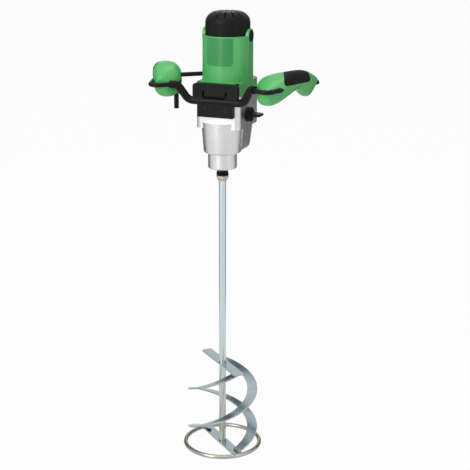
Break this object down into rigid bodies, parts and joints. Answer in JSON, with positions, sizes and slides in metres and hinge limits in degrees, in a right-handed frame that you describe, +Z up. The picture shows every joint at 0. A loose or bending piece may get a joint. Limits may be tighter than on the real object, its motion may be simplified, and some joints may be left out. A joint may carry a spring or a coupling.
{
  "type": "mixing drill",
  "caption": "Hand-held mixing drill: a geared motor in a bent tube frame with side grips, turning a helical stirring paddle that ends in a foot ring.",
  "frame": {"origin": "on the spindle axis, at the floor under the foot ring", "axes": "+Z up along the spindle, -Y to the front where the clamp plate is, +X to the side with the speed knob"},
  "size_m": [0.337, 0.16, 0.8805],
  "materials": {
    "green_shell": "moulded, semi-gloss",
    "black_plastic": "moulded, satin",
    "soft_black": "soft, matt",
    "black_frame": "black paint, satin",
    "cast_aluminium": "die cast, satin",
    "zinc_plate": "zinc plated",
    "collar_steel": "yellowed plating",
    "blackened_steel": "blackened",
    "gear_steel": "ground and oiled",
    "bearing_steel": "polished",
    "bronze": "plain",
    "copper": "varnished windings",
    "laminations": "stacked sheet",
    "carbon": "pressed carbon",
    "fan_plastic": "moulded"
  },
  "bodies": {
    "machine": {"motor_housing": "green_shell", "left_handle_outer": "green_shell", "left_handle_inner": "green_shell", "right_handle_outer": "green_shell", "right_handle_inner": "green_shell", "top_cap": "black_plastic", "brush_caps": "black_plastic", "switch_body": "black_plastic", "left_grip_insert": "soft_black", "right_grip_insert": "soft_black", "cord_gland": "soft_black", "motor_lead": "soft_black", "oil_seal": "soft_black", "frame_tube": "black_frame", "left_handle_rod": "black_frame", "right_handle_rod": "black_frame", "front_block": "black_frame", "clamp_plate": "black_frame", "gear_case": "cast_aluminium", "inner_cover": "cast_aluminium", "gear_cover": "cast_aluminium", "plate_screws": "blackened_steel", "housing_screws": "blackened_steel", "handle_screws": "blackened_steel", "trigger_pin": "gear_steel", "brush_springs": "gear_steel", "spindle_bearing": "bearing_steel", "spindle_upper_bearing": "bearing_steel", "motor_lower_bearing": "bearing_steel", "motor_upper_bearing": "bearing_steel", "lay_shaft_bushes": "bronze", "brush_tubes": "bronze", "field_coils": "copper", "stator_core": "laminations", "carbon_brushes": "carbon"},
    "spindle": {"spindle": "blackened_steel", "low_speed_gear": "gear_steel", "paddle_collar": "collar_steel", "stirrer_shaft": "zinc_plate", "top_bar": "zinc_plate", "bottom_bar": "zinc_plate", "mixing_blade_left": "zinc_plate", "mixing_blade_right": "zinc_plate", "foot_ring": "zinc_plate"},
    "clutch": {"clutch_sleeve": "gear_steel"},
    "high_gear": {"high_speed_gear": "gear_steel"},
    "lay_shaft": {"lay_shaft": "gear_steel", "first_gear": "gear_steel", "low_speed_pinion": "gear_steel", "high_speed_pinion": "gear_steel"},
    "armature": {"motor_shaft": "gear_steel", "armature_core": "laminations", "commutator": "copper", "cooling_fan": "fan_plastic", "motor_pinion": "gear_steel"},
    "selector": {"selector_knob": "black_plastic", "selector_crank": "gear_steel"},
    "fork": {"shift_fork": "gear_steel"},
    "trigger": {"trigger": "black_plastic"},
    "lock_button": {"lock_button": "black_plastic"}
  },
  "joints": [
    {"name": "spindle_spin", "type": "hinge", "parent": "machine", "child": "spindle", "pos_m": [0, 0, 0.6], "axis": [0, 0, 1], "continuous": true},
    {"name": "lay_shaft_spin", "type": "hinge", "parent": "machine", "child": "lay_shaft", "pos_m": [-0.01982, 0.03184, 0.66], "axis": [0, 0, 1], "continuous": true},
    {"name": "high_gear_spin", "type": "hinge", "parent": "machine", "child": "high_gear", "pos_m": [0, 0, 0.66], "axis": [0, 0, 1], "continuous": true},
    {"name": "armature_spin", "type": "hinge", "parent": "machine", "child": "armature", "pos_m": [0, 0.027, 0.78], "axis": [0, 0, 1], "continuous": true},
    {"name": "selector_turn", "type": "hinge", "parent": "machine", "child": "selector", "pos_m": [0.05, 0.018, 0.688], "axis": [1, 0, 0], "range_deg": [0, 90]},
    {"name": "fork_shift", "type": "slide", "parent": "machine", "child": "fork", "axis": [0, 0, 1], "range_m": [0, 0.00707]},
    {"name": "clutch_spin", "type": "hinge", "parent": "fork", "child": "clutch", "pos_m": [0, 0, 0.643], "axis": [0, 0, 1], "continuous": true},
    {"name": "trigger_pull", "type": "hinge", "parent": "machine", "child": "trigger", "pos_m": [-0.14377, 0.01075, 0.757], "axis": [0.9563, 0.2924, 0], "range_deg": [0, 13], "stiffness_Nm_per_rad": 0.6, "springref_deg": -5.73},
    {"name": "lock_push", "type": "slide", "parent": "machine", "child": "lock_button", "axis": [0.9563, 0.2924, 0], "range_m": [0, 0.0025], "stiffness_N_per_m": 800, "springref_m": -0.001}
  ],
  "couplings": [
    {"joint": "lay_shaft_spin", "follows": "spindle_spin", "ratio": -3.6154},
    {"joint": "high_gear_spin", "follows": "spindle_spin", "ratio": 1.8077},
    {"joint": "armature_spin", "follows": "spindle_spin", "ratio": 22.725},
    {"joint": "clutch_spin", "follows": "spindle_spin", "ratio": 1},
    {"joint": "selector_turn", "follows": "fork_shift", "rad_per_m": 222.15}
  ]
}
